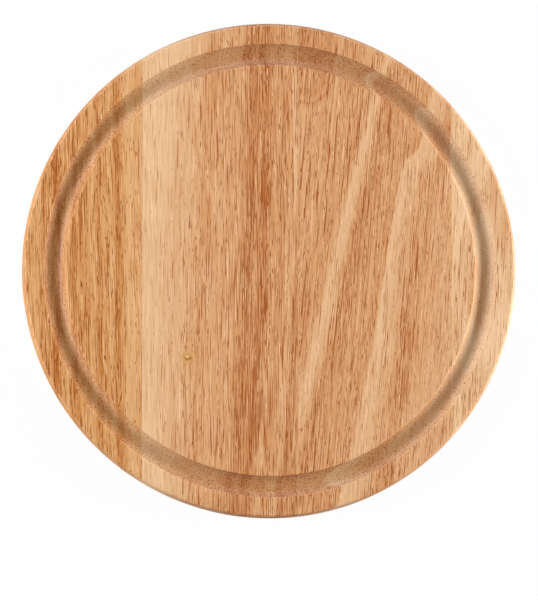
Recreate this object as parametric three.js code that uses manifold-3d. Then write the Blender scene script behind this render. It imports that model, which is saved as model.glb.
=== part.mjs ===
// A round wooden serving plate with a juice groove, glued up from long staves.
// The staves are glued edge to edge into one panel, and the panel is then turned to shape, so each
// stave and each glue film is its own slice of one turned disc.
// Millimetres, +Z up, origin at the middle of the underside. The grain runs along Y.

import * as THREE from "three";
import { mergeVertices } from "three/addons/utils/BufferGeometryUtils.js";
import Module from "manifold-3d";

// Driving dimensions of the turned disc
const PLATE_DIAMETER = 250;
const PLATE_THICKNESS = 15;
const TOP_BULGE = 1.9; // how far the rounded edge swells out past the top face
const BOTTOM_BULGE = 2.8; // and past the underside, where it is rounded over more
const EDGE_EASE = 0.9; // length of each side of the softened corner between face and edge

// Driving dimensions of the juice groove
const RIM_WIDTH = 11.2; // from the plate's widest point in to the groove
const GROOVE_WIDTH = 10.8;
const GROOVE_DEPTH = 3;
const GROOVE_EASE = 0.5; // length of each side of the softened corner along the groove

// Driving dimensions of the glued panel
const STAVE_WIDTH = 78;
const SEAM_OFFSET = 12.8; // the seam nearest the middle lies this far to its right
const NARROWEST_STAVE = 15; // no seam is left closer than this to the plate's edge
const GLUE_THICKNESS = 0.2;

// Fineness of the turned surface
const TURNED_STEPS = 120;
const ARC_STEPS = 3;

const STAVE_COLOURS = ["#cb925f", "#d9a473", "#d6a06c", "#deb083"];
const GLUE_COLOUR = "#d8b98c";

const wasm = await Module();
wasm.setup();

// One half of the edge's swell: an arc that stands upright at mid-height and leans in by the bulge
// at the face. It stops short of the face, to leave room for the softened corner.
function edgeSwell(bulge) {
  const halfThickness = PLATE_THICKNESS / 2;
  const radius = (halfThickness ** 2 + bulge ** 2) / (2 * bulge);
  const centre = PLATE_DIAMETER / 2 - radius;
  const angle = Math.asin(halfThickness / radius) - EDGE_EASE / radius;
  return {
    radius,
    centre,
    angle,
    faceRadius: PLATE_DIAMETER / 2 - bulge,
    endRadius: centre + radius * Math.cos(angle),
    endRise: radius * Math.sin(angle),
  };
}

// Half of the disc's cross-section, from the middle of the underside, round the edge, over the rim,
// through the groove and back to the middle of the top. x is the radius and y the height.
function discProfile() {
  const radius = PLATE_DIAMETER / 2;
  const halfThickness = PLATE_THICKNESS / 2;
  const below = edgeSwell(BOTTOM_BULGE);
  const above = edgeSwell(TOP_BULGE);

  const grooveOuter = radius - RIM_WIDTH;
  const grooveInner = grooveOuter - GROOVE_WIDTH;
  const grooveMiddle = (grooveOuter + grooveInner) / 2;
  const cutterRadius = ((GROOVE_WIDTH / 2) ** 2 + GROOVE_DEPTH ** 2) / (2 * GROOVE_DEPTH);
  const cutterHeight = PLATE_THICKNESS - GROOVE_DEPTH + cutterRadius;
  const grooveAngle = Math.asin(GROOVE_WIDTH / 2 / cutterRadius) - GROOVE_EASE / cutterRadius;
  const wallReach = cutterRadius * Math.sin(grooveAngle);
  const wallHeight = cutterHeight - cutterRadius * Math.cos(grooveAngle);

  const profile = new THREE.Path();
  profile.moveTo(0, 0);
  profile.lineTo(below.faceRadius - EDGE_EASE, 0);
  profile.quadraticCurveTo(below.faceRadius, 0, below.endRadius, halfThickness - below.endRise);
  profile.absarc(below.centre, halfThickness, below.radius, -below.angle, 0, false);
  profile.absarc(above.centre, halfThickness, above.radius, 0, above.angle, false);
  profile.quadraticCurveTo(
    above.faceRadius,
    PLATE_THICKNESS,
    above.faceRadius - EDGE_EASE,
    PLATE_THICKNESS,
  );
  profile.lineTo(grooveOuter + GROOVE_EASE, PLATE_THICKNESS);
  profile.quadraticCurveTo(grooveOuter, PLATE_THICKNESS, grooveMiddle + wallReach, wallHeight);
  profile.absarc(
    grooveMiddle,
    cutterHeight,
    cutterRadius,
    -Math.PI / 2 + grooveAngle,
    -Math.PI / 2 - grooveAngle,
    true,
  );
  profile.quadraticCurveTo(grooveInner, PLATE_THICKNESS, grooveInner - GROOVE_EASE, PLATE_THICKNESS);
  profile.lineTo(0, PLATE_THICKNESS);
  return profile.getPoints(ARC_STEPS);
}

// A closed geometry as a solid that can be cut
function solidFrom(geometry) {
  geometry.deleteAttribute("normal");
  geometry.deleteAttribute("uv");
  const merged = mergeVertices(geometry);
  const vertProperties = new Float32Array(merged.attributes.position.array);
  const triVerts = new Uint32Array(merged.index.array);
  return new wasm.Manifold(new wasm.Mesh({ numProp: 3, vertProperties, triVerts }));
}

// A cut solid as a geometry
function geometryFrom(solid) {
  const mesh = solid.getMesh();
  const geometry = new THREE.BufferGeometry();
  geometry.setAttribute("position", new THREE.BufferAttribute(mesh.vertProperties, mesh.numProp));
  geometry.setIndex(new THREE.BufferAttribute(mesh.triVerts, 1));
  geometry.computeVertexNormals();
  return geometry;
}

function turnedDisc() {
  const lathe = new THREE.LatheGeometry(discProfile(), TURNED_STEPS);
  lathe.rotateX(Math.PI / 2);
  return solidFrom(lathe);
}

// The part of space between two upright planes square to X, tall and long enough to hold the disc
function slab(from, to) {
  const reach = PLATE_DIAMETER;
  const outline = new THREE.Shape();
  outline.moveTo(from, -reach);
  outline.lineTo(to, -reach);
  outline.lineTo(to, reach);
  outline.lineTo(from, reach);
  outline.closePath();
  const box = new THREE.ExtrudeGeometry(outline, { depth: 3 * PLATE_THICKNESS, bevelEnabled: false });
  box.translate(0, 0, -PLATE_THICKNESS);
  return solidFrom(box);
}

// The X of every seam in the panel, from left to right, that lands well inside the plate
function seamPlaces() {
  const furthest = PLATE_DIAMETER / 2 - NARROWEST_STAVE;
  const first = Math.ceil((-furthest - SEAM_OFFSET) / STAVE_WIDTH);
  const last = Math.floor((furthest - SEAM_OFFSET) / STAVE_WIDTH);
  const places = [];
  for (let step = first; step <= last; step += 1) {
    places.push(SEAM_OFFSET + step * STAVE_WIDTH);
  }
  return places;
}

function namedSlice(name, disc, from, to, colour, roughness) {
  const geometry = geometryFrom(disc.intersect(slab(from, to)));
  const material = new THREE.MeshStandardMaterial({ color: colour, roughness, metalness: 0 });
  const mesh = new THREE.Mesh(geometry, material);
  mesh.name = name;
  return mesh;
}

const plate = new THREE.Group();
plate.name = "wooden_plate";
const disc = turnedDisc();
const seams = seamPlaces();
const leftFaces = [-PLATE_DIAMETER, ...seams.map((seam) => seam + GLUE_THICKNESS / 2)];
const rightFaces = [...seams.map((seam) => seam - GLUE_THICKNESS / 2), PLATE_DIAMETER];

leftFaces.forEach((left, index) => {
  const colour = STAVE_COLOURS[index % STAVE_COLOURS.length];
  plate.add(namedSlice(`stave_${index + 1}`, disc, left, rightFaces[index], colour, 0.6));
});

seams.forEach((seam, index) => {
  const name = `glue_line_${index + 1}`;
  plate.add(namedSlice(name, disc, rightFaces[index], leftFaces[index + 1], GLUE_COLOUR, 0.5));
});

export default plate;
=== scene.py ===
# %% [markdown]
# A round serving plate, glued up from four wooden staves and then turned to shape. The CAD model gives
# the place and size of every stave and glue film. This lesson gives them their fine surface and their
# wood. It starts by loading the packed model, which stays fixed: nothing here moves or resizes it.

# %% Load the packed plate
import math

import bmesh
import bpy
import numpy as np
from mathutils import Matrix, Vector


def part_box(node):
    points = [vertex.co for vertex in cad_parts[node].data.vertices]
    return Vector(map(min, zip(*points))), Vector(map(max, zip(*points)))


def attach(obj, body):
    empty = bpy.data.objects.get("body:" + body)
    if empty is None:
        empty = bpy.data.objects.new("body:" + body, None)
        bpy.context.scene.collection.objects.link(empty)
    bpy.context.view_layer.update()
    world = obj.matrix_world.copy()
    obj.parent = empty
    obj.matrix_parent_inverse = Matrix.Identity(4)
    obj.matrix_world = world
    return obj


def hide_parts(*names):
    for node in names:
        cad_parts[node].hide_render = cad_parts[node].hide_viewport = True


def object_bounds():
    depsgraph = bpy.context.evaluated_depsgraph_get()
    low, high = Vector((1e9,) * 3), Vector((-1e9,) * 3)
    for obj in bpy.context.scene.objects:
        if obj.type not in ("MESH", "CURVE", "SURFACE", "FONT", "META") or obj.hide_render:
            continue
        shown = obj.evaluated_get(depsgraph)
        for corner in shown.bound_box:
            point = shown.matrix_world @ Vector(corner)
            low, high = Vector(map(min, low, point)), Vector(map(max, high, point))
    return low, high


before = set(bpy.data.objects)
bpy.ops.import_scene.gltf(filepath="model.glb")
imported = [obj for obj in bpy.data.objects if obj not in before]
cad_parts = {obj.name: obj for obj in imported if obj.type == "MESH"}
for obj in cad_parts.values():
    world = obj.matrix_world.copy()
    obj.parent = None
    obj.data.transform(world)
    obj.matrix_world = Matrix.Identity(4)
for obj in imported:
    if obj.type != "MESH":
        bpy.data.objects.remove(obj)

cad_box = [list(corner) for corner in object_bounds()]
print("CAD box in metres:", cad_box)

# %% [markdown]
# The frame tells where the seams are and how big the plate is. What it doesn't say is how the turned
# profile is made up, so those sizes are named here, in metres: how far the edge swells out past the top
# and past the underside, the rim, the groove, and the radii that sandpaper leaves on the corners. Last
# come the numbers of points that the round stretches of the profile get.

# %% Sizes
MM = 0.001
STAVES = sorted(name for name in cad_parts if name.startswith("stave"))
GLUE_LINES = sorted(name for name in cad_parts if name.startswith("glue"))
RADIUS = cad_box[1][0]
THICKNESS = cad_box[1][2] - cad_box[0][2]
TOP_BULGE = 1.9 * MM
BOTTOM_BULGE = 2.8 * MM
EDGE_EASE = 1.5 * MM
RIM_WIDTH = 11.2 * MM
GROOVE_WIDTH = 10.8 * MM
GROOVE_DEPTH = 3.0 * MM
GROOVE_EASE = 0.8 * MM
CORNER_POINTS = 9
GROOVE_POINTS = 33
EDGE_POINTS = 21
print(f"{len(STAVES)} staves, {len(GLUE_LINES)} glue lines")
print(f"radius {RADIUS:.4f}, thickness {THICKNESS:.4f}")

# %% [markdown]
# The cross-section of a turned plate is a chain of straight lines and arcs that run smoothly into each
# other: flat field, eased corner, round-bottomed groove, eased corner, flat rim, eased corner, swelling
# edge. It could be a bevelled polygon, but then the corners would be the same everywhere. Arcs that are
# tangent to their neighbours are as easy to write, because the centre of each small arc lies where its
# distance to the face and its distance to the big arc are both known. The lower half is the same chain
# upside down, and there every point further in than the middle of the rim is laid flat.


# %% The turned profile
def arc(centre, radius, start, end, count):
    """Points on a circle: the centre plus radius times (cos t, sin t), t running from start to end."""
    t = np.linspace(start, end, count)
    return np.stack([centre[0] + radius * np.cos(t), centre[1] + radius * np.sin(t)], axis=1)


def half_profile(bulge):
    """Radius and height from the field out to the widest point of an edge that swells out by the bulge.

    An eased corner is a circle of radius e whose centre lies e below the face. Beside the groove it
    touches the cutter's circle from outside, so their centres are cutter + e apart. At the edge it
    touches the swell's circle from inside, so their centres are swell - e apart.
    """
    cutter = ((GROOVE_WIDTH / 2) ** 2 + GROOVE_DEPTH**2) / (2 * GROOVE_DEPTH)
    groove = np.array([RADIUS - RIM_WIDTH - GROOVE_WIDTH / 2, THICKNESS - GROOVE_DEPTH + cutter])
    rise = groove[1] - THICKNESS + GROOVE_EASE
    reach = math.sqrt((cutter + GROOVE_EASE) ** 2 - rise**2)
    lean = math.atan2(rise, reach)
    inner = groove + (-reach, -rise)
    outer = groove + (reach, -rise)

    half = THICKNESS / 2
    swell = (half**2 + bulge**2) / (2 * bulge)
    edge = np.array([RADIUS - swell, half])
    run = math.sqrt((swell - EDGE_EASE) ** 2 - (half - EDGE_EASE) ** 2)
    tilt = math.atan2(half - EDGE_EASE, run)
    corner = edge + (run, half - EDGE_EASE)

    flat = np.array([[inner[0] - GROOVE_EASE, THICKNESS]])
    rim = np.array([[outer[0] + GROOVE_EASE, THICKNESS], [corner[0] - EDGE_EASE, THICKNESS]])
    return np.concatenate([
        flat,
        arc(inner, GROOVE_EASE, math.pi / 2, lean, CORNER_POINTS),
        arc(groove, cutter, math.pi + lean, 2 * math.pi - lean, GROOVE_POINTS)[1:],
        arc(outer, GROOVE_EASE, math.pi - lean, math.pi / 2, CORNER_POINTS)[1:],
        rim,
        arc(corner, EDGE_EASE, math.pi / 2, tilt, CORNER_POINTS),
        arc(edge, swell, tilt, 0, EDGE_POINTS)[1:],
    ])


upper = half_profile(TOP_BULGE)
lower = half_profile(BOTTOM_BULGE)
mid_rim = RADIUS - RIM_WIDTH / 2
lower[:, 1] = np.where(lower[:, 0] > mid_rim, THICKNESS - lower[:, 1], 0.0)
lowest = upper[:, 1].min() / MM
widest = upper[-1, 0] / MM
print(f"upper half of {len(upper)} points, lowest {lowest:.2f} mm, widest {widest:.2f} mm")

# %% [markdown]
# A stave is the part of the turned disc between two upright planes. Cutting a finished disc with a
# boolean would leave slivers along the seams, so the slice is worked out directly: every ring of the
# disc is followed only while it is between the planes. The same function makes a glue film, whose two
# planes are a hair apart. A plane that cuts the disc gets a flat face, which joins the rings' ends.

# %% Slices of the disc
WELD_DISTANCE = 0.001 * MM
SHARP_ANGLE = math.radians(30)


def grid_faces(numbers):
    """Quads between neighbours of a two-way table of vertex numbers."""
    corners = [numbers[:-1, :-1], numbers[1:, :-1], numbers[1:, 1:], numbers[:-1, 1:]]
    return np.stack(corners, -1).reshape(-1, 4)


def disc_slice(name, left, right, columns):
    """The turned disc between the planes x = left and x = right.

    A ring of radius r meets the slice where x = r sin(a) lies between the planes, so a runs from
    asin(left / r) to asin(right / r). y is -r cos(a) on the near half and r cos(a) on the far half.
    The rings run from the field over the groove and the edge to the underside and back in.
    """
    rings = np.concatenate([upper, lower[::-1]])
    radius = rings[:, :1]
    share = np.linspace(0, 1, columns)
    first = np.arcsin(np.clip(left / radius, -1, 1))
    last = np.arcsin(np.clip(right / radius, -1, 1))
    angle = first + (last - first) * share
    x = radius * np.sin(angle)
    y = radius * np.cos(angle)
    z = np.broadcast_to(rings[:, 1:], x.shape)
    points = np.stack([np.stack([x, -y, z], -1), np.stack([x, y, z], -1)])
    numbers = np.arange(points[..., 0].size).reshape(points.shape[:3])
    near, far = numbers
    faces = [
        grid_faces(near),
        grid_faces(far),
        grid_faces(np.stack([near[0], far[0]])),
        grid_faces(np.stack([near[-1], far[-1]])),
    ]
    count = len(upper)
    cut_columns = [column for column, plane in ((0, left), (-1, right)) if abs(plane) < upper[0, 0]]
    for column in cut_columns:
        top = np.concatenate([near[:count, column][::-1], far[:count, column]])
        bottom = np.concatenate([near[count:, column], far[count:, column][::-1]])
        faces.append(grid_faces(np.stack([top, bottom])))
    mesh = bpy.data.meshes.new(name)
    mesh.from_pydata(points.reshape(-1, 3).tolist(), [], np.concatenate(faces).tolist())
    return mesh


def closed_piece(mesh):
    """Joins what meets, turns the faces outwards and shades all but the sharp cut edges smoothly."""
    work = bmesh.new()
    work.from_mesh(mesh)
    bmesh.ops.remove_doubles(work, verts=work.verts, dist=WELD_DISTANCE)
    bmesh.ops.recalc_face_normals(work, faces=work.faces)
    open_edges = sum(not edge.is_manifold for edge in work.edges)
    work.to_mesh(mesh)
    work.free()
    mesh.shade_smooth()
    mesh.set_sharp_from_angle(angle=SHARP_ANGLE)
    piece = bpy.data.objects.new(mesh.name, mesh)
    bpy.context.scene.collection.objects.link(piece)
    print(f"{piece.name}: {len(mesh.polygons)} faces, {open_edges} open edges")
    return piece


# %% [markdown]
# Each new piece takes the place of its CAD node, which is hidden, and rides on the plate's one body.

# %% Make the staves and the glue films
STAVE_COLUMNS = 121
GLUE_COLUMNS = 3
pieces = {}
for node in STAVES + GLUE_LINES:
    low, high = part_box(node)
    columns = STAVE_COLUMNS if node in STAVES else GLUE_COLUMNS
    piece = closed_piece(disc_slice(f"turned_{node}", low.x, high.x, columns))
    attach(piece, "root")
    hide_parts(node)
    pieces[node] = piece

# %% [markdown]
# The wood is a solid material: its colour depends on the place inside the tree, so that the figure runs
# on over the groove, the edge and the underside as it does on real wood. That takes a lot of sums, and
# sums are hard to read as boxes and wires. So a small class wraps one socket and lets plain Python
# expressions add the nodes: a + b adds a Math node that adds them.


# %% A socket to calculate with
class Wire:
    """One output socket of a shader's node tree, which can be used in sums."""

    def __init__(self, tree, socket=None):
        self.tree = tree
        self.socket = socket

    def node(self, kind, settings=None, inputs=None, output=0):
        """Adds any node: its settings go in first, then a value or a link for each of its sockets."""
        node = self.tree.nodes.new(kind)
        for name, value in (settings or {}).items():
            if name == "stops":
                elements = node.color_ramp.elements
                elements.remove(elements[1])
                elements[0].position, elements[0].color = value[0]
                for place, colour in value[1:]:
                    elements.new(place).color = colour
            else:
                setattr(node, name, value)
        for place, value in (inputs or {}).items():
            if isinstance(value, Wire):
                self.tree.links.new(value.socket, node.inputs[place])
            else:
                node.inputs[place].default_value = value
        return Wire(self.tree, node.outputs[output] if node.outputs else None)

    def also(self, output):
        """Another output of the node that this socket is on."""
        return Wire(self.tree, self.socket.node.outputs[output])

    def sum(self, operation, first, second):
        """Adds a Math node for two numbers, each of them a socket or a plain value."""
        return self.node("ShaderNodeMath", {"operation": operation}, {0: first, 1: second})

    def __add__(self, other):
        return self.sum("ADD", self, other)

    def __sub__(self, other):
        return self.sum("SUBTRACT", self, other)

    def __rsub__(self, other):
        return self.sum("SUBTRACT", other, self)

    def __mul__(self, other):
        return self.sum("MULTIPLY", self, other)

    def __truediv__(self, other):
        return self.sum("DIVIDE", self, other)

    def __pow__(self, other):
        return self.sum("POWER", self, other)

    __radd__ = __add__


print("a plain value may also come first in:", [name for name in vars(Wire) if name.startswith("__r")])

# %% [markdown]
# A handful of helpers are all that the finishes need besides sums: a soft step from 0 to 1, an oval, a
# mix of two colours, a colour written as on a paint card, and cloudy noise whose lumps have a size in
# millimetres. The Mix node has a set of sockets for each kind of value that it can mix, and the numbers
# of those for colours are named here.

# %% Helpers for the finishes
MIX_SHARE = 0
MIX_FIRST = 6
MIX_SECOND = 7
MIX_RESULT = 2
OVAL_FULL = 0.1


def paint(card):
    """A colour from its web code. The sRGB formula turns each channel from screen brightness to light."""
    parts = [int(card[place:place + 2], 16) / 255 for place in (1, 3, 5)]
    light = [part / 12.92 if part <= 0.04045 else ((part + 0.055) / 1.055) ** 2.4 for part in parts]
    return (*light, 1.0)


def step(value, low, high):
    """0 below low, 1 above high and a smooth slope between. With low above high it falls instead."""
    sockets = {"Value": value, "From Min": low, "From Max": high}
    return value.node("ShaderNodeMapRange", {"interpolation_type": "SMOOTHSTEP"}, sockets)


def mix(share, first, second, blend="MIX"):
    """Goes from the first colour to the second. With blend MULTIPLY the second is a tint on the first."""
    settings = {"data_type": "RGBA", "blend_type": blend}
    sockets = {MIX_SHARE: share, MIX_FIRST: first, MIX_SECOND: second}
    return share.node("ShaderNodeMix", settings, sockets, MIX_RESULT)


def parts_of(place):
    """The three coordinates of a place."""
    x = place.node("ShaderNodeSeparateXYZ", {}, {0: place}, "X")
    return x, x.also("Y"), x.also("Z")


def place_of(x, y, z):
    """A place put together from its three coordinates."""
    return x.node("ShaderNodeCombineXYZ", {}, {"X": x, "Y": y, "Z": z})


def scaled(place, lump):
    """The place measured in lumps, each lump being so many millimetres long in x, y and z."""
    return place.node("ShaderNodeVectorMath", {"operation": "DIVIDE"}, {0: place, 1: lump})


def clouds(place, lump, detail=2.0, roughness=0.5):
    """Cloudy noise in lumps of the size given. The node's values lie around 0.5, so here around 0."""
    sockets = {"Vector": scaled(place, lump), "Scale": 1.0, "Detail": detail, "Roughness": roughness}
    return place.node("ShaderNodeTexNoise", {}, sockets) - 0.5


def oval(x, y, middle, half):
    """1 in the middle of an oval and 0 outside, falling with the squared distance in half-sizes."""
    across = (x - middle[0]) / half[0]
    up = (y - middle[1]) / half[1]
    return step(across * across + up * up, 1.0, OVAL_FULL)


print("warm cream is", tuple(round(part, 3) for part in paint("#e4b78d")))

# %% [markdown]
# A tree grows in rings round its pith, so the first number that the wood needs is the distance from the
# pith. The pith of each stave is a line outside the board, nearly along Y. Where it bends or comes
# closer to the board's face, the rings come out on the face as leaning bands and arches, as on the third
# stave. Slow waves and finer ripples keep the rings from being perfectly round. A colour ramp then gives
# each ring its tone.

# %% Rings
WAVE_LUMPS = (30, 90, 30)
RIPPLE_LUMPS = (3, 40, 3)
RIPPLE_SHARE = 0.3


def curve(y, factors):
    """A polynomial: the sum of its factors times 1, y, y squared and so on."""
    value = factors[0]
    power = y
    for factor in factors[1:]:
        value = power * factor + value
        power = power * y
    return value


def ring_distance(place, pith_x, pith_z, wander, swells):
    """Distance from the pith: the root of the squares of how far x and z are from it.

    The x and the z of the pith are polynomials of y, given by their factors. A swell is an oval in which
    the rings are pushed aside, so that they come out as an arch round it.
    """
    x, y, z = parts_of(place)
    across = x - curve(y, pith_x)
    up = z - curve(y, pith_z)
    distance = (across * across + up * up) ** 0.5
    for middle_x, middle_y, half_width, half_length, push in swells:
        distance = oval(x, y, (middle_x, middle_y), (half_width, half_length)) * push + distance
    waves = clouds(place, WAVE_LUMPS) * wander
    ripples = clouds(place, RIPPLE_LUMPS) * (RIPPLE_SHARE * wander)
    return distance + waves + ripples


def ring_tone(rings, bands):
    """The tone of each ring, from a ramp through the bands: pairs of a ring's distance and its tone."""
    first = bands[0][0]
    last = bands[-1][0]
    stops = [((ring - first) / (last - first), (tone, tone, tone, 1)) for ring, tone in bands]
    return rings.node("ShaderNodeValToRGB", {"stops": stops}, {"Fac": (rings - first) / (last - first)})


# %% [markdown]
# Fibres run along the tree, but they lean, sway and swerve, and they part round a knot. So the fine
# figure is made in a place of its own, in which the fibres are straight. There each fibre also slips
# along its neighbours, or else all the vessels would end on the same lines.

# %% The run of the fibres
SWAY_LUMPS = (40, 80, 40)
SWAY_REACH = 2.0
SWERVE_LUMPS = (8, 45, 8)
SWERVE_REACH = 1.2
SLIP_LUMPS = (1.1, 1, 1.1)
SLIP_REACH = 50
KNOT_REACH = (7, 16)
KNOT_PARTING = 0.5


def fibre_place(place, lean, knots):
    """The place with the lean taken out of x, the sway added to it, and every fibre's slip added to y."""
    x, y, z = parts_of(place)
    sway = clouds(place, SWAY_LUMPS) * SWAY_REACH + clouds(place, SWERVE_LUMPS) * SWERVE_REACH
    for knot in knots:
        sway = (knot[0] - x) * oval(x, y, knot, KNOT_REACH) * KNOT_PARTING + sway
    slip = clouds(place_of(x, 0.0, z), SLIP_LUMPS, detail=0.0) * SLIP_REACH
    return place_of(x - y * lean + sway, y + slip, z)


# %% [markdown]
# Streaks, threads, lines and vessels all come from clouds that are stretched along the fibres. Vessels
# are fine tubes. Cut lengthwise they are short dark dashes, which are the peaks of such a cloud, so that
# their lengths vary as they do in wood. Cut across or torn by the cutter, as in the groove and on the
# edge, they are dots, from a cloud that isn't stretched. Dark bands are coarser wood, with more vessels
# and with lines that fade less.

# %% Fibres and vessels
# Streaks, shades and threads
STREAK_LUMPS = (2.4, 60, 2.4)
STREAK_STRENGTH = 0.08
SHADE_LUMPS = (7, 40, 7)
SHADE_STRENGTH = 0.06
THREAD_LUMPS = (0.42, 15, 0.42)
THREAD_CRISPNESS = 0.7

# Lines, and where they fade
LINE_LUMPS = (0.44, 22, 0.44)
LINE_PEAK = (0.09, 0.15)
LINE_HOLLOW = (-0.12, -0.20)
LINE_PALENESS = 0.35
LINE_FADED = 0.12
LINE_CLEAR = 0.5
FADE_LUMPS = (1.1, 11, 1.1)
FADE_SLOPE = (-0.08, 0.14)
FADE_COARSE = 0.8

# Vessels cut lengthwise and across
VESSEL_LUMPS = (0.38, 3.4, 0.38)
VESSEL_RARITY = 0.21
VESSEL_COARSE = 0.42
VESSEL_WALL = 0.035
VESSEL_DARKNESS = 1.05
VESSEL_DARKNESS_COARSE = 2.5
DOT_LUMPS = (0.7, 0.7, 0.7)
DOT_CRISPNESS = 0.7
DOT_SLOPE = (-0.02, 0.22)


def streaks(grain):
    """Soft streaks and broader shades."""
    narrow = clouds(grain, STREAK_LUMPS, detail=1.0) * STREAK_STRENGTH
    broad = clouds(grain, SHADE_LUMPS, detail=1.0) * SHADE_STRENGTH
    return narrow + broad


def fine_lines(grain, coarse):
    """Long lines that come and go: dark along a cloud's peaks and less strongly pale along its hollows."""
    ripple = clouds(grain, LINE_LUMPS, detail=0.0)
    lines = step(ripple, *LINE_PEAK) - step(ripple, *LINE_HOLLOW) * LINE_PALENESS
    clear = step(clouds(grain, FADE_LUMPS, detail=0.0) + coarse * FADE_COARSE, *FADE_SLOPE)
    return lines * (clear * LINE_CLEAR + LINE_FADED)


def vessel_dashes(grain, coarse):
    """How dark a vessel is, and 0 beside it: where a cloud rises above a level that coarse wood lowers."""
    level = VESSEL_RARITY - coarse * VESSEL_COARSE
    inside = step(clouds(grain, VESSEL_LUMPS, detail=0.0) - level, 0.0, VESSEL_WALL)
    return inside * (coarse * VESSEL_DARKNESS_COARSE + VESSEL_DARKNESS)


def vessel_dots(place):
    """1 inside a vessel that is cut across and 0 outside."""
    return step(clouds(place, DOT_LUMPS, detail=1.0, roughness=DOT_CRISPNESS), *DOT_SLOPE)


# %% [markdown]
# All the changes of tone, from the broad bands of the rings to the single vessel, are added up as one
# number: 0 is the darkest brown of a deep vessel and 1 the palest cream. A tone card, which is a colour
# ramp, then turns the number into a colour. Mixing colours at each step would work too, but one card
# keeps every shade believable, because dark wood is also redder and pale wood yellower. The codes are
# the colours as seen from above. There the sheen of the lamps lies over them, so it is taken off first.

# %% Tone cards
SHEEN = 0.028
TONES = [0.00, 0.20, 0.36, 0.50, 0.64, 0.80, 1.00]


def under_sheen(code):
    """The wood's own colour where the web code gives the colour seen: each channel less the sheen."""
    return (*(max(part - SHEEN, 0.0) for part in paint(code)[:3]), 1.0)


def tone_card(*codes):
    """The stops of a ramp, with one colour for each of the tones."""
    return [(tone, under_sheen(code)) for tone, code in zip(TONES, codes)]


WARM_CARD = tone_card("#9e5a2d", "#b77145", "#c68456", "#d19465", "#dba474", "#e4b78c", "#f5cea5")
AMBER_CARD = tone_card("#9c5a28", "#b6713d", "#c5844d", "#d2945c", "#dba470", "#e5b786", "#f5ce9f")
print(f"{len(TONES)} tones on each card")

# %% [markdown]
# The figure of each stave is read off the board: where its pith lies, how far its rings wander and its
# fibres lean, how strongly its vessels show, which tone is usual, which tones follow each other from ring
# to ring, and where it has marks of its own. Distances are in millimetres. A band is a distance from the
# pith and a tone. A mark is a place in x and y, half a width, half a length and a change of tone. A swell
# is given like a mark, but ends with a push of the rings, and a knot is only a place.

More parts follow.
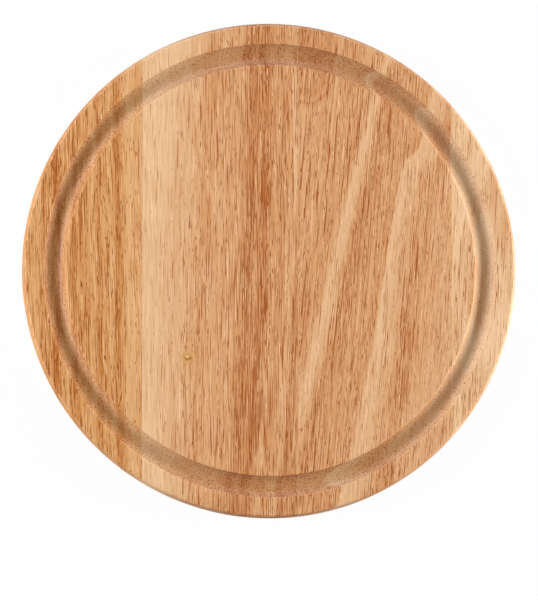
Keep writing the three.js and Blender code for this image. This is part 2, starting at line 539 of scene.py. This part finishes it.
# %% The figure of each stave
FIGURES = {
    "stave_1": {
        "pith_x": [37, 0.019, -0.00048],
        "pith_z": [53, -0.078, 0.00114],
        "wander": 1.2,
        "lean": -0.035,
        "card": AMBER_CARD,
        "vessel_strength": 0.9,
        "usual": 0.58,
        "bands": [
            (104, 0.61), (109.5, 0.59), (112.5, 0.60), (114.5, 0.66), (116, 0.64), (117.5, 0.56),
            (118.7, 0.47), (120.5, 0.34), (121.6, 0.40), (123.5, 0.61), (125.5, 0.47), (127.3, 0.53),
            (128.8, 0.37), (130.5, 0.46), (132, 0.62), (133.5, 0.52), (135.5, 0.42), (136.5, 0.51),
            (138.3, 0.41), (139.5, 0.47), (141, 0.31), (143.5, 0.57), (147.5, 0.46), (149.3, 0.22),
            (151.5, 0.47), (156, 0.41), (158.3, 0.57), (165, 0.48), (172, 0.42),
        ],
        "marks": [
            (-95.8, 20, 0.8, 17, -0.22), (-85.3, -37, 0.9, 19, -0.25), (-83, -56, 0.8, 6, -0.25),
            (-83, 15.5, 0.9, 1.1, -0.40), (-95.6, 13, 0.8, 1.0, -0.35), (-68.4, 57.7, 0.7, 1.6, -0.45),
            (-68.6, -75.6, 0.7, 1.4, -0.40), (-86.3, -77.2, 0.7, 3.0, -0.40), (-106, -49, 1.2, 13, -0.20),
        ],
        "swells": [],
        "knots": [],
    },
    "stave_2": {
        "pith_x": [-71, 0.046, -0.00063],
        "pith_z": [81, 0, -0.00046],
        "wander": 1.0,
        "lean": 0.0,
        "card": WARM_CARD,
        "vessel_strength": 1.0,
        "usual": 0.62,
        "bands": [
            (58, 0.75), (64.5, 0.80), (66.5, 0.77), (68.5, 0.70), (69.6, 0.66), (70.6, 0.71), (72, 0.62),
            (74, 0.58), (75.5, 0.56), (77.5, 0.61), (79.5, 0.58), (82.5, 0.57), (84.7, 0.57), (86, 0.48),
            (87.8, 0.35), (89.3, 0.39), (90.5, 0.52), (91.4, 0.43), (92.8, 0.32), (94.5, 0.43),
            (96.2, 0.52), (97.5, 0.59), (98.9, 0.46), (100.3, 0.49), (102, 0.57), (104.6, 0.62),
            (106, 0.46), (107.5, 0.38), (109, 0.48), (114, 0.45), (120, 0.52),
        ],
        "marks": [
            (-4.0, 34, 1.6, 21, -0.22), (-6.5, 87, 0.9, 14, -0.18), (2.3, 87, 0.8, 7, -0.22),
            (-29, 88, 6, 19, -0.08), (-33, 22, 3, 22, -0.09), (-9.5, -54, 2.2, 6, -0.20),
            (-11.5, -77, 2.6, 16, -0.13), (-1.5, -65, 1.3, 16, -0.16), (-19.4, -31, 0.7, 34, -0.20),
            (-25.5, -90, 0.9, 11, -0.20), (7.1, -82.7, 0.7, 1.8, -0.45), (-5.5, -61, 0.6, 1.8, -0.40),
            (-23, 79, 0.7, 4, -0.28), (11.3, 60, 1.5, 60, 0.12),
        ],
        "swells": [],
        "knots": [(-42.6, -43.8)],
    },
    "stave_3": {
        "pith_x": [-40],
        "pith_z": [250, -0.0683, -0.000128, -0.00000127],
        "wander": 0.8,
        "lean": 0.09,
        "card": WARM_CARD,
        "vessel_strength": 1.0,
        "usual": 0.62,
        "bands": [
            (224, 0.46), (226.3, 0.40), (228, 0.50), (229.2, 0.49), (230.2, 0.36), (231.2, 0.50),
            (233, 0.57), (235, 0.62), (237, 0.56), (239.5, 0.54), (241, 0.59), (242.5, 0.55),
            (243.6, 0.47), (244.4, 0.57), (245.2, 0.76), (246.3, 0.67), (247.3, 0.49), (248.5, 0.47),
            (249.6, 0.54), (252.5, 0.55), (253.8, 0.52), (254.3, 0.76), (255.6, 0.73), (257.2, 0.65),
            (258.6, 0.59), (259.7, 0.50), (261.5, 0.51), (263.5, 0.61), (266.5, 0.63), (268.5, 0.60),
            (270.5, 0.66), (276, 0.58),
        ],
        "marks": [
            (42.8, 66.8, 0.7, 0.9, -0.50), (53, 50, 2, 6, -0.10), (69, -35, 1.6, 12, -0.16),
            (30, -44, 2, 11, -0.10), (38, -15, 3, 11, -0.08),
        ],
        "swells": [(86, 78, 26, 42, -3.1), (20, 104, 17, 27, -10)],
        "knots": [],
    },
    "stave_4": {
        "pith_x": [118, 0.242, 0.00165],
        "pith_z": [-10.7, 0.046, -0.00066],
        "wander": 1.0,
        "lean": 0.05,
        "card": WARM_CARD,
        "vessel_strength": 1.0,
        "usual": 0.77,
        "bands": [
            (18, 0.77), (22, 0.71), (25.5, 0.77), (27.5, 0.87), (29, 0.85), (30.3, 0.77), (32.5, 0.71),
            (33.8, 0.71), (35, 0.77), (36.5, 0.82), (39, 0.84), (43, 0.83), (46, 0.79), (52, 0.83),
            (60, 0.77),
        ],
        "marks": [
            (105.7, -15.8, 0.8, 0.8, -0.50), (103, -9, 6, 24, -0.19), (120, 44, 11, 47, -0.20),
            (97, 93, 3, 20, -0.18), (93.4, 92, 1.6, 22, 0.10),
        ],
        "swells": [],
        "knots": [],
    },
}
for node, figure in FIGURES.items():
    band_count = len(figure["bands"])
    mark_count = len(figure["marks"])
    print(f"{node}: {band_count} bands, {mark_count} marks, fibres lean {figure['lean']:+.2f}")

# %% [markdown]
# A pin knot is a pale core in a dark ring, with a yellow halo round both. It is drawn over the wood with
# three ovals, whose outlines a small cloud bends so that the knot doesn't look like a target. The ovals'
# half-sizes are in millimetres, along x and y.

# %% Knots
KNOT_COLOUR = paint("#95600f")
KNOT_HALO_COLOUR = paint("#cc9a55")
KNOT_CORE_COLOUR = paint("#ecbd7c")
KNOT_HALO = (5.0, 4.5)
KNOT_RING = (2.5, 1.8)
KNOT_CORE = (1.7, 1.1)
KNOT_CORE_LIFT = 0.25
KNOT_HALO_SHARE = 0.6
KNOT_CORE_SHARE = 0.7
KNOT_RING_SLOPE = (0.1, 0.8)
KNOT_LUMPS = (1.3, 1.3, 1.3)
KNOT_BEND = 2.6


def with_knot(colour, place, knot):
    """The colour with a knot laid over it. The ring is the oval of its outline less that of the core."""
    x, y = parts_of(place)[:2]
    bend = clouds(place, KNOT_LUMPS, detail=1.0) * KNOT_BEND
    bent_x = x + bend
    bent_y = y - bend
    halo = oval(bent_x, bent_y, knot, KNOT_HALO)
    core = oval(bent_x, bent_y - KNOT_CORE_LIFT, knot, KNOT_CORE)
    ring = step(oval(bent_x, bent_y, knot, KNOT_RING) - core, *KNOT_RING_SLOPE)
    colour = mix(halo * KNOT_HALO_SHARE, colour, KNOT_HALO_COLOUR)
    colour = mix(ring, colour, KNOT_COLOUR)
    return mix(core * KNOT_CORE_SHARE, colour, KNOT_CORE_COLOUR)


# %% [markdown]
# Now the wood itself. The flat faces are sanded, and fibres and vessels show well on them. The groove
# and the edge are as the cutter left them: most of the figure is torn away, a stipple of dots takes its
# place, and the surface is duller. Both are also darkened all over, which is painted shade that deepens
# the groove. Where they also cut the fibres across, the open ends drink more oil and the wood looks
# darker and greyer. Fibres stand up a little and pores are furrows, so both also shape the surface
# through a Bump node.

# %% The wood
# Where a surface is turned, is part of the edge or cuts the fibres across
TOP = THICKNESS / MM
SKIN = (0.05, 0.6)
EDGE_MARGIN = 0.3
EDGE_START = (RADIUS - TOP_BULGE) / MM - EDGE_MARGIN
EDGE_FADE = 1
ENDS_SLOPE = (0.0, 0.08)

# What that does to the figure and the colour
TORN_AWAY = 0.7
TORN_AWAY_ENDS = 0.25
DOT_DARKNESS = 0.25
DOT_DARKNESS_ENDS = 0.35
EDGE_SMOOTHNESS = 0.65
END_TINT = paint("#dedadc")
# Painted shade: every turned surface, the groove and the edge, is darkened by about a fifth to deepen the
# groove's shade
TURNED_SHADE_TINT = paint("#e7e8e6")

# Shares in the tone
THREAD_STRENGTH = 0.6
TONE_LIFT = 0.095
MARK_RAGGEDNESS = 1.5

# Gloss and relief of the surface
SANDED_ROUGHNESS = 0.42
PORE_ROUGHNESS = 0.4
TURNED_ROUGHNESS = 0.06
EDGE_ROUGHNESS = 0.1
FIBRE_HEIGHT = 0.3
PORE_DEPTH = 0.6
WOOD_RELIEF = 0.02 * MM
SPECULAR = 0.25


def new_material(name):
    """An empty material, and a Wire to start from."""
    material = bpy.data.materials.new(name)
    material.use_nodes = True
    material.node_tree.nodes.clear()
    return material, Wire(material.node_tree)


def surface(start, colour, roughness, height, dent):
    """A Principled surface dented by height, dent metres deep, and the material's output."""
    normal = start.node("ShaderNodeBump", {}, {"Strength": 1.0, "Distance": dent, "Height": height})
    sockets = {
        "Base Color": colour,
        "Roughness": roughness,
        "Specular IOR Level": SPECULAR,
        "Normal": normal,
    }
    shader = start.node("ShaderNodeBsdfPrincipled", {}, sockets)
    start.node("ShaderNodeOutputMaterial", {}, {"Surface": shader})


def wood(name, pith_x, pith_z, wander, lean, card, vessel_strength, usual, bands, marks, swells, knots):
    """A stave's wood. Its tone is the ring's band, plus the fibres less the pores, plus the marks.

    The wood is as coarse as its band is darker than the usual tone, and coarseness strengthens fibres
    and pores. A surface is turned where it lies deeper than the skin under both faces. The square of
    its normal's y tells how far it cuts the fibres across.
    """
    material, start = new_material(name)
    metres = start.node("ShaderNodeTexCoord", {}, {}, "Object")
    place = scaled(metres, (MM, MM, MM))
    x, y, z = parts_of(place)
    turned = step(z, TOP - SKIN[0], TOP - SKIN[1]) * step(z, *SKIN)
    edge = step(x * x + y * y, EDGE_START**2, (EDGE_START + EDGE_FADE) ** 2)
    facing = parts_of(metres.also("Normal"))[1]
    ends = facing * facing
    across = step(ends, *ENDS_SLOPE)
    sanded = 1 - turned * (across * TORN_AWAY_ENDS + TORN_AWAY)

    band = ring_tone(ring_distance(place, pith_x, pith_z, wander, swells), bands)
    coarse = usual - band
    grain = fibre_place(place, lean, knots)
    threads = clouds(grain, THREAD_LUMPS, detail=1.0, roughness=THREAD_CRISPNESS)
    fibres = (streaks(grain) + threads * THREAD_STRENGTH) * sanded
    pores = (vessel_dashes(grain, coarse) + fine_lines(grain, coarse)) * vessel_strength * sanded
    for knot in knots:
        pores = (1 - oval(x, y, knot, KNOT_HALO)) * pores
    stipple = vessel_dots(place) * turned * (across * DOT_DARKNESS_ENDS + DOT_DARKNESS)
    pores = stipple * (1 - edge * EDGE_SMOOTHNESS) + pores

    tone = band + (fibres - pores) * (coarse + 1) + TONE_LIFT
    for middle_x, middle_y, half_width, half_length, change in marks:
        ragged = x + threads * (half_width * MARK_RAGGEDNESS)
        tone = oval(ragged, y, (middle_x, middle_y), (half_width, half_length)) * change + tone
    colour = start.node("ShaderNodeValToRGB", {"stops": card}, {"Fac": tone})
    for knot in knots:
        colour = with_knot(colour, place, knot)
    colour = mix(ends, colour, END_TINT, "MULTIPLY")
    # Painted shade on the turned surfaces: the groove and the edge are darkened all over
    colour = mix(turned, colour, TURNED_SHADE_TINT, "MULTIPLY")

    roughness = SANDED_ROUGHNESS + pores * PORE_ROUGHNESS
    roughness = roughness + turned * TURNED_ROUGHNESS + edge * EDGE_ROUGHNESS
    surface(start, colour, roughness, fibres * FIBRE_HEIGHT - pores * PORE_DEPTH, WOOD_RELIEF)
    return material


for node, figure in FIGURES.items():
    finish = wood(f"{node}_wood", **figure)
    pieces[node].data.materials.append(finish)
    print(f"{finish.name}: {len(finish.node_tree.nodes)} nodes")

# %% [markdown]
# The glue is a film of dried resin between two staves, sanded flush. It is as pale as light wood and
# shows as a fine line. It gets a slight mottle, since the film is never the same thickness all along.

# %% The glue
GLUE_DARK = paint("#c99b6b")
GLUE_PALE = paint("#dfb78a")
GLUE_LUMPS = (1, 6, 1)
GLUE_DETAIL = 3.0
GLUE_SLOPE = (-0.25, 0.25)
GLUE_ROUGHNESS = 0.45
MOTTLE_ROUGHNESS = 0.2
GLUE_RELIEF = 0.03 * MM

material, start = new_material("dried_glue")
place = scaled(start.node("ShaderNodeTexCoord", {}, {}, "Object"), (MM, MM, MM))
mottle = clouds(place, GLUE_LUMPS, GLUE_DETAIL)
colour = mix(step(mottle, *GLUE_SLOPE), GLUE_DARK, GLUE_PALE)
surface(start, colour, GLUE_ROUGHNESS + mottle * MOTTLE_ROUGHNESS, mottle, GLUE_RELIEF)
for node in GLUE_LINES:
    pieces[node].data.materials.append(material)
print(f"{material.name} on {len(GLUE_LINES)} films")

# %% [markdown]
# The plate is photographed from above with a long lens, a few degrees to the left of upright: the left
# edge shows a little and the right edge doesn't. The picture is taken as 538 by 600, in which the plate
# is 494 across and its middle lies above the middle of the frame. No lens shift is needed, because the
# camera simply looks at the point that falls in the middle of the frame. The width of its sensor spans
# the longer side of the picture.

# %% Camera
IMAGE_SIZE = (538, 600)
PLATE_PIXELS = 494
PLATE_MIDDLE = (271.6, 270.5)
CAMERA_DISTANCE = 0.75
CAMERA_LEAN_LEFT = math.radians(4.6)
CAMERA_LEAN_NEAR = math.radians(1.2)
SENSOR_MM = 36
metres_per_pixel = 2 * RADIUS / PLATE_PIXELS

camera = bpy.data.objects.new("camera", bpy.data.cameras.new("camera"))
bpy.context.scene.collection.objects.link(camera)
bpy.context.scene.camera = camera
camera.rotation_euler = (CAMERA_LEAN_NEAR, -CAMERA_LEAN_LEFT, 0)
turn = np.array(camera.rotation_euler.to_matrix())
right_step = (IMAGE_SIZE[0] / 2 - PLATE_MIDDLE[0]) * metres_per_pixel
up_step = (PLATE_MIDDLE[1] - IMAGE_SIZE[1] / 2) * metres_per_pixel
middle = np.array([0, 0, THICKNESS / 2])
camera.location = middle + turn @ np.array([right_step, up_step, CAMERA_DISTANCE])
camera.data.sensor_width = SENSOR_MM
camera.data.lens = SENSOR_MM * CAMERA_DISTANCE / (IMAGE_SIZE[1] * metres_per_pixel)
print(f"camera at {tuple(round(c, 3) for c in camera.location)}, lens {camera.data.lens:.0f} mm")

# %% [markdown]
# Two low soft boxes, one on each side, make the groove readable: they rake over the flat field, light
# both walls of the groove at the left and right and leave its bottom in shade. Weaker ones behind and in
# front light the walls that face them. Each box is given as the share of the field's light that it
# brings, and the shares and the sky add up to about 1, so that a colour renders about as it is written.
# The sheen comes from three cards, which are large lamps that only reflections see. The side boxes are
# kept out of reflections, because they would burn out the plate's face in a low view.

# %% Soft boxes
LAMP_DISTANCE = 1.4
LAMPS = [
    # name, compass angle and height in degrees, width and height in metres, share of the light
    ("left_box", 180, 24, 0.7, 0.86, 0.48),
    ("right_box", 0, 14, 0.7, 0.65, 0.375),
    ("back_box", 90, 18, 1.0, 0.6, 0.135),
    ("front_box", 270, 18, 1.0, 0.6, 0.05),
]
NOT_REFLECTED = ("left_box", "right_box")
CARDS = [
    # name, compass angle and height in degrees, width and height in metres, brightness
    ("left_card", 180, 32, 2.2, 0.5, 16),
    ("right_card", 0, 14, 1.6, 0.6, 14),
    ("back_card", 105, 20, 2.0, 0.9, 6),
]


def soft_box(name, compass, height, width, tall, energy):
    """A rectangular lamp that stands at a compass angle, lifted by a height angle, and faces the plate."""
    data = bpy.data.lights.new(name, "AREA")
    data.shape = "RECTANGLE"
    data.size = width
    data.size_y = tall
    data.energy = energy
    lamp = bpy.data.objects.new(name, data)
    bpy.context.scene.collection.objects.link(lamp)
    lamp.visible_camera = False
    lift = math.radians(height)
    around = math.radians(compass)
    lamp.rotation_euler = (math.pi / 2 - lift, 0, around + math.pi / 2)
    flat = LAMP_DISTANCE * math.cos(lift)
    lamp.location = (flat * math.cos(around), flat * math.sin(around), LAMP_DISTANCE * math.sin(lift))
    print(f"{name}: {energy:.0f} W from {height} degrees up")
    return lamp


def box_energy(share, height):
    """Watts of a box that brings the field a share of its light.

    They are the share times pi squared times the distance squared, divided by the sine of the height.
    """
    return share * math.pi**2 * LAMP_DISTANCE**2 / math.sin(math.radians(height))


def card_energy(brightness, width, tall):
    """Watts of a lamp that looks so bright: brightness times pi times its area."""
    return brightness * math.pi * width * tall


for name, compass, height, width, tall, share in LAMPS:
    box = soft_box(name, compass, height, width, tall, box_energy(share, height))
    box.visible_glossy = name not in NOT_REFLECTED

for name, compass, height, width, tall, brightness in CARDS:
    card = soft_box(name, compass, height, width, tall, card_energy(brightness, width, tall))
    card.visible_diffuse = False

# %% [markdown]
# The sky fills the shadows evenly. The camera, and whatever the plate mirrors, see it as plain white. The
# floor is a white sheet that does the same for the camera, but keeps a trace of the plate's shadow. The
# trace fades out away from the plate, so that the sheet's far end doesn't show in a low view.

# %% Sky and floor
SKY_SHARE = 0.06
WHITE = paint("#ffffff")
PAPER = paint("#f4f4f4")
FLOOR_HALF = 1.5
FLOOR_DROP = 0.05 * MM
SHADOW_TRACE = 0.03
SHADOW_REACH = 0.6


def seen_directly(start):
    """1 for light that goes to the camera, or to it by way of a mirror or glass, and 0 for other light."""
    camera_ray = start.node("ShaderNodeLightPath", {}, {}, "Is Camera Ray")
    mirrored = camera_ray.also("Is Glossy Ray")
    through = camera_ray.also("Is Transmission Ray")
    return mirrored.sum("MAXIMUM", mirrored.sum("MAXIMUM", camera_ray, mirrored), through)


world = bpy.data.worlds.new("sky")
world.use_nodes = True
world.node_tree.nodes.clear()
bpy.context.scene.world = world
start = Wire(world.node_tree)
strength = seen_directly(start) * (1 - SKY_SHARE) + SKY_SHARE
sky = start.node("ShaderNodeBackground", {}, {"Color": WHITE, "Strength": strength})
start.node("ShaderNodeOutputWorld", {}, {"Surface": sky})

corner = np.array([-1, 1]) * FLOOR_HALF
across, along = np.meshgrid(corner, corner)
floor_points = np.stack([across, along, np.full_like(across, -FLOOR_DROP)], -1).reshape(-1, 3)
floor_mesh = bpy.data.meshes.new("floor")
floor_mesh.from_pydata(floor_points.tolist(), [], [(0, 1, 3, 2)])
floor = bpy.data.objects.new("floor", floor_mesh)
bpy.context.scene.collection.objects.link(floor)

material, start = new_material("white_sheet")
paper = start.node("ShaderNodeBsdfDiffuse", {}, {"Color": PAPER})
glow = start.node("ShaderNodeEmission", {}, {"Color": WHITE, "Strength": 1.0})
spot = start.node("ShaderNodeTexCoord", {}, {}, "Object")
away = start.node("ShaderNodeVectorMath", {"operation": "LENGTH"}, {0: spot}, "Value")
share = seen_directly(start) * (1 - step(away, SHADOW_REACH, RADIUS) * SHADOW_TRACE)
sheet = start.node("ShaderNodeMixShader", {}, {0: share, 1: paper, 2: glow})
start.node("ShaderNodeOutputMaterial", {}, {"Surface": sheet})
floor.data.materials.append(material)
print(f"sky gives {SKY_SHARE:.0%} of the light, floor lies {FLOOR_DROP / MM:.2f} mm below the plate")

# %% [markdown]
# Last, the look of the picture stays plain.

# %% The look of the picture
bpy.context.scene.view_settings.view_transform = "Standard"
